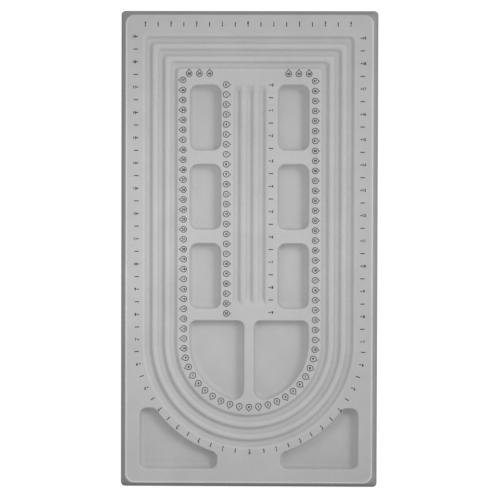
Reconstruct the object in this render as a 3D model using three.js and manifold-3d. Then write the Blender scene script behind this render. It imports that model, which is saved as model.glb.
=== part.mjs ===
// A flocked bead board: one thin plastic sheet, formed over a tool into grooves and trays, with a coat
// of flock glued over its top and sides. Millimetres, +Z up, the origin under the middle of the board.
import * as THREE from 'three';
import { mergeVertices } from 'three/addons/utils/BufferGeometryUtils.js';
import Module from 'manifold-3d';

const wasm = await Module();
wasm.setup();

// The board's finished outside, at the table and at the top
const BOARD_WIDTH = 260.4;
const BOARD_LENGTH = 482.6;
const BOARD_HEIGHT = 13;
const BASE_CORNER_RADIUS = 4;
const TOP_CORNER_RADIUS = 9;
const SKIRT_DRAFT = THREE.MathUtils.degToRad(21);
const RIM_RADIUS = 0.8;

// The layers, from the fibre tips down to the underside
const FLOCK_THICKNESS = 0.5;
const GLUE_LINE = 0.3;
const SHEET_THICKNESS = 1.2;
const INSIDE_BEND_RADIUS = 0.3;
const FLOCK_HEM = 0.5;

// Half-round bead grooves: the U-shaped channels round the field and the straight ones in the middle
const GROOVE_PITCH = 12.5;
const GROOVE_DEPTH = 4;
const CREST_RADIUS = 3.6;
const CREST_FLAT = 0.4;
const CHANNEL_COUNT = 3;
const CHANNEL_CORNER_RADIUS = 4;
const CHANNEL_SIDE_MARGIN = 22.7;
const CHANNEL_TOP_MARGIN = 24.8;
const STRAIGHT_COUNT = 3;
const STRAIGHT_END_LAND = 12.7;
const STRAIGHT_END_DRAFT = THREE.MathUtils.degToRad(60);
const STRAIGHT_CORNER_RADIUS = 2;

// Trays with drafted walls and deep floor fillets
const TRAY_DRAFT = THREE.MathUtils.degToRad(10);
const TRAY_LIP_RADIUS = 1.4;
const TRAY_FLOOR_FILLET = 5;
const TRAY_LEAST_RADIUS = 0.8;
const TRAY_ROWS = 3;
const TRAY_CORNER_RADIUS = 9.5;
const TRAY_TOP_LAND = 12.2;
const TRAY_ROW_LAND = 11;
const TRAY_INNER_LAND = 8.4;
const SCALE_LAND = 8.6;
const HALF_ROUND_TOP_LAND = 9;
const HALF_ROUND_STRAIGHT = 24.1;
const HALF_ROUND_DIVIDER = 7;
const HALF_ROUND_CORNER_RADIUS = 8;
const HALF_ROUND_FOOT_RADIUS = 12;
const CORNER_TRAY_FLOOR_FILLET = 4;
const CORNER_TRAY_SIDE_MARGIN = 18.6;
const CORNER_TRAY_BASE_MARGIN = 18.4;
const CORNER_TRAY_CHANNEL_LAND = 6.5;
const CORNER_TRAY_TIP_WIDTH = 17.4;
const CORNER_TRAY_GAP = 61;
const CORNER_TRAY_CORNER_RADIUS = 8.5;
const BAND_HEIGHT = 14.5;
const WALL_ROOM = 0.94;
const SIDES = [1, -1];
const STRAIGHT_DOWN = 1.5 * Math.PI;

// How far a cut runs past the face that it opens
const CUT_OVERRUN = 1;

// Facets: around outlines, and across each rounded profile on the seen and on the hidden faces
const CORNER_STEPS = 3;
const CHANNEL_CORNER_STEPS = 2;
const CHANNEL_ARC_STEPS = 21;
const TRAY_ARC_STEPS = 6;
const SEEN_STEPS = { lip: 2, fillet: 3, groove: 5 };
const HIDDEN_STEPS = { lip: 1, fillet: 2, groove: 5 };

// How far each face lies below the fibre tips
const FLOCK_BACK = FLOCK_THICKNESS;
const SHEET_FACE = FLOCK_BACK + GLUE_LINE;
const SHEET_BACK = SHEET_FACE + SHEET_THICKNESS;

// How far the skirt comes in from the table to the flat
const HALF_WIDTH = BOARD_WIDTH / 2;
const HALF_LENGTH = BOARD_LENGTH / 2;
const SKIRT_RUN = (RIM_RADIUS + (BOARD_HEIGHT - RIM_RADIUS) * Math.sin(SKIRT_DRAFT)) / Math.cos(SKIRT_DRAFT);

// A groove's half-width at the flat, and the arc that meets its lips and its depth
const GROOVE_HALF = (GROOVE_PITCH - CREST_FLAT) / 2;
const LIP_TO_ARC = (GROOVE_HALF ** 2 + GROOVE_DEPTH ** 2) / (2 * GROOVE_DEPTH);
const GROOVE_RADIUS = LIP_TO_ARC - CREST_RADIUS;
const GROOVE_CENTRE_Z = BOARD_HEIGHT - GROOVE_DEPTH + GROOVE_RADIUS;
const GROOVE_SWEEP = Math.asin(GROOVE_HALF / LIP_TO_ARC);

// The layout, from the board's edges inwards
const CHANNEL_BAND = CHANNEL_COUNT * GROOVE_PITCH;
const FIELD_HALF = HALF_WIDTH - CHANNEL_SIDE_MARGIN - CHANNEL_BAND;
const FIELD_TOP = HALF_LENGTH - CHANNEL_TOP_MARGIN - CHANNEL_BAND;
const CORNER_TRAY_RADIUS = FIELD_HALF + CHANNEL_BAND + CORNER_TRAY_CHANNEL_LAND;
const CORNER_TRAY_BASE = CORNER_TRAY_BASE_MARGIN - HALF_LENGTH;
const CORNER_TRAY_OUTER = HALF_WIDTH - CORNER_TRAY_SIDE_MARGIN;
const ARC_Y = CORNER_TRAY_BASE + BAND_HEIGHT + CORNER_TRAY_RADIUS;
const CORNER_TRAY_TOP = ARC_Y - Math.sqrt(CORNER_TRAY_RADIUS ** 2 - (CORNER_TRAY_OUTER - CORNER_TRAY_TIP_WIDTH) ** 2);
const HALF_ROUND_TOP = ARC_Y + HALF_ROUND_STRAIGHT;
const HALF_ROUND_RADIUS = FIELD_HALF - SCALE_LAND;
const TRAY_INNER = STRAIGHT_COUNT * GROOVE_PITCH / 2 + TRAY_INNER_LAND;
const TRAY_WIDTH = FIELD_HALF - SCALE_LAND - TRAY_INNER;
const TRAY_TOP = FIELD_TOP - TRAY_TOP_LAND;
const TRAY_COLUMN = TRAY_TOP - HALF_ROUND_TOP - HALF_ROUND_TOP_LAND;
const TRAY_LENGTH = (TRAY_COLUMN - (TRAY_ROWS - 1) * TRAY_ROW_LAND) / TRAY_ROWS;
const STRAIGHT_TOP = FIELD_TOP - STRAIGHT_END_LAND;
const STRAIGHT_LENGTH = STRAIGHT_TOP - HALF_ROUND_TOP - STRAIGHT_END_LAND;

// Outlines run anticlockwise, seen from above

function arc(centreX, centreY, radius, from, to, steps) {
  const points = [];
  for (let step = 0; step <= steps; step += 1) {
    const angle = from + (to - from) * step / steps;
    points.push(new THREE.Vector2(centreX + radius * Math.cos(angle), centreY + radius * Math.sin(angle)));
  }
  return points;
}

function roundedRectangle(centreX, centreY, halfX, halfY, cornerRadius) {
  const radius = Math.min(cornerRadius, halfX, halfY);
  const x = halfX - radius;
  const y = halfY - radius;
  const corners = [[x, y], [-x, y], [-x, -y], [x, -y]];
  return corners.flatMap(([cornerX, cornerY], quarter) => {
    const start = quarter * Math.PI / 2;
    return arc(centreX + cornerX, centreY + cornerY, radius, start, start + Math.PI / 2, CORNER_STEPS);
  });
}

// A channel's plan: a flat top, straight sides and a half-circle round the field's lower end
function channelOutline(halfWidth) {
  const radius = CHANNEL_CORNER_RADIUS;
  const x = halfWidth - radius;
  const y = FIELD_TOP + halfWidth - FIELD_HALF - radius;
  return [
    ...arc(x, y, radius, 0, Math.PI / 2, CHANNEL_CORNER_STEPS),
    ...arc(-x, y, radius, Math.PI / 2, Math.PI, CHANNEL_CORNER_STEPS),
    ...arc(0, ARC_Y, halfWidth, Math.PI, 2 * Math.PI, CHANNEL_ARC_STEPS),
  ];
}

function trayCorner(radius, inset) {
  return Math.max(radius - inset, TRAY_LEAST_RADIUS);
}

function smallTrayOutline(side, row, inset) {
  const centreX = side * (TRAY_INNER + TRAY_WIDTH / 2);
  const centreY = TRAY_TOP - TRAY_LENGTH / 2 - row * (TRAY_LENGTH + TRAY_ROW_LAND);
  const radius = trayCorner(TRAY_CORNER_RADIUS, inset);
  return roundedRectangle(centreX, centreY, TRAY_WIDTH / 2 - inset, TRAY_LENGTH / 2 - inset, radius);
}

function onSide(side, outline) {
  if (side > 0) {
    return outline;
  }
  return outline.map((point) => new THREE.Vector2(-point.x, point.y)).reverse();
}

// One of the pair of trays that share the field's round end: square above, round below
function halfRoundOutline(side, inset) {
  const radius = trayCorner(HALF_ROUND_CORNER_RADIUS, inset);
  const footRadius = trayCorner(HALF_ROUND_FOOT_RADIUS, inset);
  const round = HALF_ROUND_RADIUS - inset;
  const innerX = HALF_ROUND_DIVIDER / 2 + inset;
  const topY = HALF_ROUND_TOP - inset - radius;
  const footX = innerX + footRadius;
  const drop = Math.sqrt((round - footRadius) ** 2 - footX ** 2);
  const turn = Math.atan2(-drop, footX);
  return onSide(side, [
    ...arc(round - radius, topY, radius, 0, Math.PI / 2, CORNER_STEPS),
    ...arc(innerX + radius, topY, radius, Math.PI / 2, Math.PI, CORNER_STEPS),
    ...arc(footX, ARC_Y - drop, footRadius, Math.PI, 2 * Math.PI + turn, CORNER_STEPS),
    ...arc(0, ARC_Y, round, turn, 0, TRAY_ARC_STEPS).slice(1),
  ]);
}

// One of the pair of trays in the board's lower corners: its long side follows the channels' half-circle
function cornerTrayOutline(side, inset) {
  const radius = trayCorner(CORNER_TRAY_CORNER_RADIUS, inset);
  const round = CORNER_TRAY_RADIUS + inset;
  const outerX = CORNER_TRAY_OUTER - inset - radius;
  const innerX = CORNER_TRAY_GAP / 2 + inset + radius;
  const baseY = CORNER_TRAY_BASE + inset + radius;
  const topY = CORNER_TRAY_TOP - inset - radius;
  const topX = Math.sqrt((round + radius) ** 2 - (topY - ARC_Y) ** 2);
  const innerY = ARC_Y - Math.sqrt((round + radius) ** 2 - innerX ** 2);
  const topTurn = Math.atan2(topY - ARC_Y, topX);
  const innerTurn = Math.atan2(innerY - ARC_Y, innerX);
  return onSide(side, [
    ...arc(outerX, baseY, radius, -Math.PI / 2, 0, CORNER_STEPS),
    ...arc(outerX, topY, radius, 0, Math.PI / 2, CORNER_STEPS),
    ...arc(topX, topY, radius, Math.PI / 2, Math.PI + topTurn, CORNER_STEPS),
    ...arc(0, ARC_Y, round, topTurn, innerTurn, TRAY_ARC_STEPS).slice(1, -1),
    ...arc(innerX, innerY, radius, Math.PI + innerTurn, Math.PI, CORNER_STEPS),
    ...arc(innerX, baseY, radius, Math.PI, STRAIGHT_DOWN, CORNER_STEPS),
  ]);
}

// Profiles: each point has its height and its distance in from the outline's flat edge

// The bend over an edge. Under a tight one the layers can't follow it, and keep their least radius
function lipPoints(edgeRadius, below, draft, steps) {
  const radius = Math.max(edgeRadius - below, INSIDE_BEND_RADIUS);
  const spare = (edgeRadius - below - radius) * (1 - Math.sin(draft)) / Math.cos(draft);
  const points = arc(spare, BOARD_HEIGHT - below - radius, radius, Math.PI / 2, draft, steps);
  return points.map((point) => ({ inset: point.x, z: point.y }));
}

function skirtProfile(below, hem, steps) {
  const lip = lipPoints(RIM_RADIUS, below, SKIRT_DRAFT, steps.lip);
  const wall = lip.map(({ inset, z }) => ({ inset: SKIRT_RUN - inset, z })).reverse();
  const foot = (below + hem * Math.sin(SKIRT_DRAFT)) / Math.cos(SKIRT_DRAFT);
  return [{ inset: foot, z: hem }, ...wall];
}

// A tray's wall runs down from its lip and turns into its floor. Its run shortens where a tray is narrow
function trayProfile(below, floorFillet, room, steps) {
  const floor = SHEET_BACK;
  const drop = BOARD_HEIGHT - TRAY_LIP_RADIUS - floor - floorFillet;
  const run = (drop * Math.sin(TRAY_DRAFT) + TRAY_LIP_RADIUS + floorFillet) / Math.cos(TRAY_DRAFT);
  const squeeze = Math.min(1, room * WALL_ROOM / run);
  const lip = lipPoints(TRAY_LIP_RADIUS, below, TRAY_DRAFT, steps.lip);
  const radius = floorFillet + below;
  const turn = arc(run, floor + floorFillet, radius, Math.PI + TRAY_DRAFT, STRAIGHT_DOWN, steps.fillet);
  const fillet = turn.map((point) => ({ inset: point.x, z: point.y }));
  return [...lip, ...fillet].map(({ inset, z }) => ({ inset: inset * squeeze, z }));
}

// Half of a groove's section, from its flat edge to the last facet before its lowest line
function grooveProfile(below, steps) {
  const lip = lipPoints(CREST_RADIUS, below, Math.PI / 2 - GROOVE_SWEEP, steps.lip);
  const lips = lip.map(({ inset, z }) => ({ half: GROOVE_HALF - inset, z }));
  const floor = [];
  for (let share = steps.groove - 2; share > 0; share -= 2) {
    const angle = GROOVE_SWEEP * share / steps.groove;
    const reach = GROOVE_RADIUS + below;
    floor.push({ half: reach * Math.sin(angle), z: GROOVE_CENTRE_Z - reach * Math.cos(angle) });
  }
  return [...lips, ...floor];
}

// How far a straight groove's end wall has come in at a height
function grooveEndInset(below, z) {
  const bend = CREST_RADIUS - below;
  const rise = z - BOARD_HEIGHT + CREST_RADIUS;
  if (rise > bend * Math.sin(STRAIGHT_END_DRAFT)) {
    return Math.sqrt(Math.max(bend ** 2 - rise ** 2, 0));
  }
  return (bend - rise * Math.sin(STRAIGHT_END_DRAFT)) / Math.cos(STRAIGHT_END_DRAFT);
}

// Solids: rings of points, the bands of triangles between them, and the caps that close them

function ring(outline, z) {
  return outline.map((point) => new THREE.Vector3(point.x, point.y, z));
}

function flip(faces) {
  return faces.map(([first, second, third]) => [first, third, second]);
}

// Bands between rings that go inwards face up
function loft(rings) {
  return rings.slice(1).flatMap((inner, step) => {
    const outer = rings[step];
    return outer.flatMap((corner, index) => {
      const next = (index + 1) % outer.length;
      return [[corner, outer[next], inner[next]], [corner, inner[next], inner[index]]];
    });
  });
}

function cap(points) {
  return THREE.ShapeUtils.triangulateShape(points, []).map((corners) => {
    const triangle = corners.map((corner) => points[corner]);
    return THREE.ShapeUtils.area(triangle) > 0 ? triangle : triangle.reverse();
  });
}

function solid(faces) {
  const geometry = mergeVertices(new THREE.BufferGeometry().setFromPoints(faces.flat()));
  return new wasm.Manifold(new wasm.Mesh({
    numProp: 3,
    vertProperties: geometry.attributes.position.array,
    triVerts: Uint32Array.from(geometry.index.array),
  }));
}

// A hollow as a solid of its own, from above the land down to its floor
function hollow(rings) {
  const mouth = rings[0].map((point) => point.clone().setZ(point.z + CUT_OVERRUN));
  return solid([...cap(mouth), ...flip(loft([mouth, ...rings])), ...flip(cap(rings.at(-1)))]);
}

// The board's plan at a height: its corners grow rounder towards the top
function boardRing(below, { inset, z }) {
  const follow = BASE_CORNER_RADIUS + (TOP_CORNER_RADIUS - BASE_CORNER_RADIUS) * z / BOARD_HEIGHT;
  const radius = Math.max(follow - below, INSIDE_BEND_RADIUS);
  return ring(roundedRectangle(0, 0, HALF_WIDTH - inset, HALF_LENGTH - inset, radius), z);
}

function block(below, hem, steps) {
  const rings = skirtProfile(below, hem, steps).map((point) => boardRing(below, point));
  return solid([...flip(cap(rings[0])), ...loft(rings), ...cap(rings.at(-1))]);
}

function channelHollow(channel, below, steps) {
  const middle = FIELD_HALF + (channel + 1 / 2) * GROOVE_PITCH;
  const half = grooveProfile(below, steps);
  const mouth = { half: half[0].half, z: half[0].z + CUT_OVERRUN };
  const outward = [mouth, ...half].map((point) => ring(channelOutline(middle + point.half), point.z));
  const inward = [mouth, ...half].map((point) => ring(channelOutline(middle - point.half), point.z));
  return solid(flip(loft([...outward, ...inward.reverse(), outward[0]])));
}

function straightHollow(index, below, steps) {
  const centreX = (index - (STRAIGHT_COUNT - 1) / 2) * GROOVE_PITCH;
  const centreY = STRAIGHT_TOP - STRAIGHT_LENGTH / 2;
  return hollow(grooveProfile(below, steps).map(({ half, z }) => {
    const halfLength = STRAIGHT_LENGTH / 2 - grooveEndInset(below, z);
    return ring(roundedRectangle(centreX, centreY, half, halfLength, STRAIGHT_CORNER_RADIUS), z);
  }));
}

function smallTrayHollow(side, row, below, steps) {
  const profile = trayProfile(below, TRAY_FLOOR_FILLET, Math.min(TRAY_WIDTH, TRAY_LENGTH) / 2, steps);
  return hollow(profile.map(({ inset, z }) => ring(smallTrayOutline(side, row, inset), z)));
}

function halfRoundHollow(side, below, steps) {
  const room = (HALF_ROUND_RADIUS - HALF_ROUND_DIVIDER / 2) / 2;
  const profile = trayProfile(below, TRAY_FLOOR_FILLET, room, steps);
  return hollow(profile.map(({ inset, z }) => ring(halfRoundOutline(side, inset), z)));
}

function cornerTrayHollow(side, below, steps) {
  const innerDrop = Math.sqrt(CORNER_TRAY_RADIUS ** 2 - (CORNER_TRAY_GAP / 2) ** 2);
  const innerHeight = ARC_Y - innerDrop - CORNER_TRAY_BASE;
  const profile = trayProfile(below, CORNER_TRAY_FLOOR_FILLET, innerHeight / 2, steps);
  return hollow(profile.map(({ inset, z }) => ring(cornerTrayOutline(side, inset), z)));
}

function upTo(count) {
  return Array.from({ length: count }, (unused, index) => index);
}

// The whole board as a solid whose face lies at a distance below the fibre tips
function form(below, hem, steps) {
  const hollows = [
    ...upTo(CHANNEL_COUNT).map((channel) => channelHollow(channel, below, steps)),
    ...upTo(STRAIGHT_COUNT).map((index) => straightHollow(index, below, steps)),
    ...SIDES.flatMap((side) => upTo(TRAY_ROWS).map((row) => smallTrayHollow(side, row, below, steps))),
    ...SIDES.map((side) => halfRoundHollow(side, below, steps)),
    ...SIDES.map((side) => cornerTrayHollow(side, below, steps)),
  ];
  return hollows.reduce((rest, cut) => rest.subtract(cut), block(below, hem, steps));
}

// A layer between two formed faces, open underneath
function layer(name, front, back, material) {
  const { vertProperties, triVerts } = front.subtract(back).getMesh();
  const geometry = new THREE.BufferGeometry();
  geometry.setAttribute('position', new THREE.BufferAttribute(vertProperties, 3));
  geometry.setIndex(new THREE.BufferAttribute(triVerts, 1));
  const mesh = new THREE.Mesh(geometry, material);
  mesh.name = name;
  return mesh;
}

const sheetPlastic = new THREE.MeshStandardMaterial({ color: 0x9b9b9d, roughness: 0.45, metalness: 0 });
const greyFlock = new THREE.MeshStandardMaterial({ color: 0xb7b7b7, roughness: 1, metalness: 0 });

const board = new THREE.Group();
board.add(layer(
  'formed_shell',
  form(SHEET_FACE, 0, HIDDEN_STEPS),
  form(SHEET_BACK, -CUT_OVERRUN, HIDDEN_STEPS),
  sheetPlastic,
));
board.add(layer(
  'flock_coat',
  form(0, FLOCK_HEM, SEEN_STEPS),
  form(FLOCK_BACK, FLOCK_HEM - CUT_OVERRUN, HIDDEN_STEPS),
  greyFlock,
));

export default board;
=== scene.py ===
# %% [markdown]
# # A flocked bead board
# A bead board is a shallow tray for laying out a necklace before it is strung.
# One thin plastic sheet is formed over a tool, and short grey fibres are glued over its face.
# Scales are then printed on the flat lands, so that a maker can measure the strand.
#
# This lesson builds the two layers as smooth skins, prints the scales with Geometry Nodes,
# and lights the board as it would be in a plain studio.

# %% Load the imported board
import math
from functools import partial

import bmesh
import bpy
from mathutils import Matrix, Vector
from mathutils.geometry import delaunay_2d_cdt


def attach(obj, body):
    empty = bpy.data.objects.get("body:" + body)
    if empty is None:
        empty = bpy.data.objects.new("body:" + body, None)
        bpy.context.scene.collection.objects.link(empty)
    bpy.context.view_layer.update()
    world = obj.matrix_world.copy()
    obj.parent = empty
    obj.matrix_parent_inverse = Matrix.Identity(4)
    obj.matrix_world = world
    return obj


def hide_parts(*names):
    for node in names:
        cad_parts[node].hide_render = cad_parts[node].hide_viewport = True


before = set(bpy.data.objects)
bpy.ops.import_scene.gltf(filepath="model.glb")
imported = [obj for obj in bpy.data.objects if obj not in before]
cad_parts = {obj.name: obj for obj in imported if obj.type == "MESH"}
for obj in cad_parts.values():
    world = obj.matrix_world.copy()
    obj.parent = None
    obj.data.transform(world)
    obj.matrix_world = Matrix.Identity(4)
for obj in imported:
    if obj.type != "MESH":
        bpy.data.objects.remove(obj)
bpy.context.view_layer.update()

print("nodes:", sorted(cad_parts))

# %% [markdown]
# ## The sizes of the tool
# All the forms of such a board come from one tool, so they share a few sizes.
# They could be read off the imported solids, point by point, but then nothing could be changed.
# Here they are named values in millimetres, the same ones that the solids were made from.
# Only the skirt leans a little more than the solids' does, which sets the rim in by 0.8 mm.

# %% Sizes in millimetres
MM = 0.001

BOARD_HALF_WIDTH = 130.2
BOARD_HALF_LENGTH = 241.3
BOARD_HEIGHT = 13.0
BASE_CORNER_RADIUS = 4.0
TOP_CORNER_RADIUS = 9.0
SKIRT_DRAFT = math.radians(24)
RIM_RADIUS = 0.8

FLOCK_BACK = 0.5
FLOCK_HEM = 0.5
SHEET_FACE = 0.8
SHEET_BACK = 2.0
LEAST_BEND = 0.3

SKIRT_RISE = BOARD_HEIGHT - RIM_RADIUS
SKIRT_RUN = (RIM_RADIUS + SKIRT_RISE * math.sin(SKIRT_DRAFT)) / math.cos(SKIRT_DRAFT)

GROOVE_PITCH = 12.5
GROOVE_DEPTH = 4.0
CREST_RADIUS = 3.6
CREST_FLAT = 0.4
GROOVE_HALF = (GROOVE_PITCH - CREST_FLAT) / 2
LIP_TO_ARC = (GROOVE_HALF ** 2 + GROOVE_DEPTH ** 2) / (2 * GROOVE_DEPTH)
GROOVE_RADIUS = LIP_TO_ARC - CREST_RADIUS
GROOVE_CENTRE_Z = BOARD_HEIGHT - GROOVE_DEPTH + GROOVE_RADIUS
GROOVE_SWEEP = math.asin(GROOVE_HALF / LIP_TO_ARC)

print(f"skirt runs in {SKIRT_RUN:.2f} mm, a groove's floor has radius {GROOVE_RADIUS:.2f} mm")

# %% Where the forms lie on the board
CHANNEL_COUNT = 3
CHANNEL_CORNER_RADIUS = 4.0
FIELD_HALF = 70.0
FIELD_TOP = 179.0
ARC_Y = -94.4

STRAIGHT_COUNT = 3
STRAIGHT_TOP = 166.3
STRAIGHT_BOTTOM = -57.6
STRAIGHT_END_DRAFT = math.radians(60)
STRAIGHT_CORNER_RADIUS = 2.0

TRAY_DRAFT = math.radians(10)
TRAY_LIP_RADIUS = 1.4
TRAY_FLOOR_FILLET = 5.0
TRAY_LEAST_RADIUS = 0.8
TRAY_CENTRE_X = 44.275
TRAY_CENTRES_Y = (132.45, 52.75, -26.95)
TRAY_HALF_WIDTH = 17.125
TRAY_HALF_LENGTH = 34.35
TRAY_CORNER_RADIUS = 9.5

HALF_ROUND_TOP = -70.3
HALF_ROUND_RADIUS = 61.4
HALF_ROUND_DIVIDER = 7.0
HALF_ROUND_CORNER_RADIUS = 8.0
HALF_ROUND_FOOT_RADIUS = 12.0

CORNER_TRAY_RADIUS = 114.0
CORNER_TRAY_BASE = -222.9
CORNER_TRAY_TOP = -158.6
CORNER_TRAY_OUTER = 111.6
CORNER_TRAY_GAP = 61.0
CORNER_TRAY_CORNER_RADIUS = 8.5
CORNER_TRAY_FLOOR_FILLET = 4.0

WALL_ROOM = 0.94
SIDES = (-1, 1)

print("channels:", CHANNEL_COUNT, "straight grooves:", STRAIGHT_COUNT)
print("small trays:", len(SIDES) * len(TRAY_CENTRES_Y))

# %% [markdown]
# ## Plans: the outlines of the forms, seen from above
# Every form is a loft: one outline, drawn again and again at other heights and insets.
# Bevelling a cut block could round the edges too, but bevels fail where a crest is narrow.
# A loft keeps its points in step from ring to ring, so the bands between them stay clean quads.

# %% Outlines that run anticlockwise
CORNER_STEPS = 10
CHANNEL_CORNER_STEPS = 6
CHANNEL_ARC_STEPS = 96
TRAY_ARC_STEPS = 28


def arc(centre_x, centre_y, radius, start, end, steps):
    points = []
    for step in range(steps + 1):
        angle = start + (end - start) * step / steps
        points.append((centre_x + radius * math.cos(angle), centre_y + radius * math.sin(angle)))
    return points


def rounded_rectangle(centre_x, centre_y, half_x, half_y, corner_radius):
    radius = min(corner_radius, half_x, half_y)
    x, y = half_x - radius, half_y - radius
    points = []
    for quarter, (corner_x, corner_y) in enumerate([(x, y), (-x, y), (-x, -y), (x, -y)]):
        start = quarter * math.pi / 2
        end = start + math.pi / 2
        points += arc(centre_x + corner_x, centre_y + corner_y, radius, start, end, CORNER_STEPS)
    return points


def channel_outline(half_width):
    x = half_width - CHANNEL_CORNER_RADIUS
    y = FIELD_TOP + half_width - FIELD_HALF - CHANNEL_CORNER_RADIUS
    return [
        *arc(x, y, CHANNEL_CORNER_RADIUS, 0, math.pi / 2, CHANNEL_CORNER_STEPS),
        *arc(-x, y, CHANNEL_CORNER_RADIUS, math.pi / 2, math.pi, CHANNEL_CORNER_STEPS),
        *arc(0, ARC_Y, half_width, math.pi, 2 * math.pi, CHANNEL_ARC_STEPS),
    ]


print("points round a channel:", len(channel_outline(FIELD_HALF)))


# %% Outlines of the trays
def tray_corner(radius, inset):
    return max(radius - inset, TRAY_LEAST_RADIUS)


def on_side(side, outline):
    return outline if side > 0 else [(-x, y) for x, y in reversed(outline)]


def small_tray_outline(side, centre_y, inset):
    return rounded_rectangle(
        side * TRAY_CENTRE_X,
        centre_y,
        TRAY_HALF_WIDTH - inset,
        TRAY_HALF_LENGTH - inset,
        tray_corner(TRAY_CORNER_RADIUS, inset),
    )


def half_round_outline(side, inset):
    radius = tray_corner(HALF_ROUND_CORNER_RADIUS, inset)
    foot_radius = tray_corner(HALF_ROUND_FOOT_RADIUS, inset)
    round_edge = HALF_ROUND_RADIUS - inset
    inner_x = HALF_ROUND_DIVIDER / 2 + inset
    top_y = HALF_ROUND_TOP - inset - radius
    foot_x = inner_x + foot_radius
    drop = math.sqrt((round_edge - foot_radius) ** 2 - foot_x ** 2)
    turn = math.atan2(-drop, foot_x)
    return on_side(side, [
        *arc(round_edge - radius, top_y, radius, 0, math.pi / 2, CORNER_STEPS),
        *arc(inner_x + radius, top_y, radius, math.pi / 2, math.pi, CORNER_STEPS),
        *arc(foot_x, ARC_Y - drop, foot_radius, math.pi, 2 * math.pi + turn, CORNER_STEPS),
        *arc(0, ARC_Y, round_edge, turn, 0, TRAY_ARC_STEPS)[1:],
    ])


def corner_tray_outline(side, inset):
    radius = tray_corner(CORNER_TRAY_CORNER_RADIUS, inset)
    round_edge = CORNER_TRAY_RADIUS + inset + radius
    outer_x = CORNER_TRAY_OUTER - inset - radius
    inner_x = CORNER_TRAY_GAP / 2 + inset + radius
    base_y = CORNER_TRAY_BASE + inset + radius
    top_y = CORNER_TRAY_TOP - inset - radius
    top_x = math.sqrt(round_edge ** 2 - (top_y - ARC_Y) ** 2)
    inner_y = ARC_Y - math.sqrt(round_edge ** 2 - inner_x ** 2)
    top_turn = math.atan2(top_y - ARC_Y, top_x)
    inner_turn = math.atan2(inner_y - ARC_Y, inner_x)
    return on_side(side, [
        *arc(outer_x, base_y, radius, -math.pi / 2, 0, CORNER_STEPS),
        *arc(outer_x, top_y, radius, 0, math.pi / 2, CORNER_STEPS),
        *arc(top_x, top_y, radius, math.pi / 2, math.pi + top_turn, CORNER_STEPS),
        *arc(0, ARC_Y, round_edge - radius, top_turn, inner_turn, TRAY_ARC_STEPS)[1:-1],
        *arc(inner_x, inner_y, radius, math.pi + inner_turn, math.pi, CORNER_STEPS),
        *arc(inner_x, base_y, radius, math.pi, 1.5 * math.pi, CORNER_STEPS),
    ])


print("points round a corner tray:", len(corner_tray_outline(1, 0)))

# %% [markdown]
# ## Profiles: the sections of the forms
# A heated sheet never folds sharply: it bends over each edge of the tool and sags into each corner.
# So a section is made of arcs. Each point has a height and a distance in from the flat edge.
# The value `below` says how deep a skin lies under the fibre tips,
# so that one set of rules gives every layer.

# %% Sections of the skirt, the grooves and the trays
SEEN_STEPS = {"lip": 6, "fillet": 10, "groove": 14}
HIDDEN_STEPS = {"lip": 2, "fillet": 4, "groove": 6}


def lip_points(edge_radius, below, draft, steps):
    radius = max(edge_radius - below, LEAST_BEND)
    spare = (edge_radius - below - radius) * (1 - math.sin(draft)) / math.cos(draft)
    return arc(spare, BOARD_HEIGHT - below - radius, radius, math.pi / 2, draft, steps)


def skirt_section(below, hem, steps):
    foot = (below + hem * math.sin(SKIRT_DRAFT)) / math.cos(SKIRT_DRAFT)
    lip = lip_points(RIM_RADIUS, below, SKIRT_DRAFT, steps["lip"])
    return [(foot, hem), *((SKIRT_RUN - inset, z) for inset, z in reversed(lip))]


def tray_section(below, fillet, room, steps):
    drop = BOARD_HEIGHT - TRAY_LIP_RADIUS - SHEET_BACK - fillet
    run = (drop * math.sin(TRAY_DRAFT) + TRAY_LIP_RADIUS + fillet) / math.cos(TRAY_DRAFT)
    squeeze = min(1, room * WALL_ROOM / run)
    lip = lip_points(TRAY_LIP_RADIUS, below, TRAY_DRAFT, steps["lip"])
    wall_turn, floor_turn = math.pi + TRAY_DRAFT, 1.5 * math.pi
    floor = arc(run, SHEET_BACK + fillet, fillet + below, wall_turn, floor_turn, steps["fillet"])
    return [(inset * squeeze, z) for inset, z in lip + floor]


def groove_section(below, steps):
    lip = lip_points(CREST_RADIUS, below, math.pi / 2 - GROOVE_SWEEP, steps["lip"])
    half = [(GROOVE_HALF - inset, z) for inset, z in lip]
    reach = GROOVE_RADIUS + below
    for step in range(1, steps["groove"] // 2 + 1):
        angle = GROOVE_SWEEP * (1 - 2 * step / steps["groove"])
        half.append((reach * math.sin(angle), GROOVE_CENTRE_Z - reach * math.cos(angle)))
    return half


def groove_end_inset(below, z):
    bend = CREST_RADIUS - below
    rise = z - BOARD_HEIGHT + CREST_RADIUS
    if rise > bend * math.sin(STRAIGHT_END_DRAFT):
        return math.sqrt(max(bend ** 2 - rise ** 2, 0))
    return (bend - rise * math.sin(STRAIGHT_END_DRAFT)) / math.cos(STRAIGHT_END_DRAFT)


print("points in half a groove's section:", len(groove_section(0, SEEN_STEPS)))

# %% [markdown]
# ## One skin: rings, bands and flats
# A skin is what one face of a layer looks like on its own:
# the lands, and all the forms sunk into them.
# Lofts make the forms. The lands between them have many holes, and a triangulation with fixed edges
# fills those in one go. A narrow flat band round each form keeps the smooth shading off the lands.

# %% Tools for rings and bands
FLAT_BAND = 0.15
TRIANGLES_INSIDE = 1
PLAN_TOLERANCE = 1e-9
# Painted highlight: the next five values make the flock paler along the rim, the crests and the
# tray lips.
HIGHLIGHT_WIDTH = 0.5
HIGHLIGHT_FADE = 1.3
TRAY_HIGHLIGHT = 0.12
CREST_HIGHLIGHT = 0.2
CREST_HIGHLIGHT_DEPTH = 1.0
# Painted shade: this value sets how dark the skirt is painted on its sides and far end, against
# full strength at the near end.
SIDE_PAINTED_SHADE = 0.55


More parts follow.
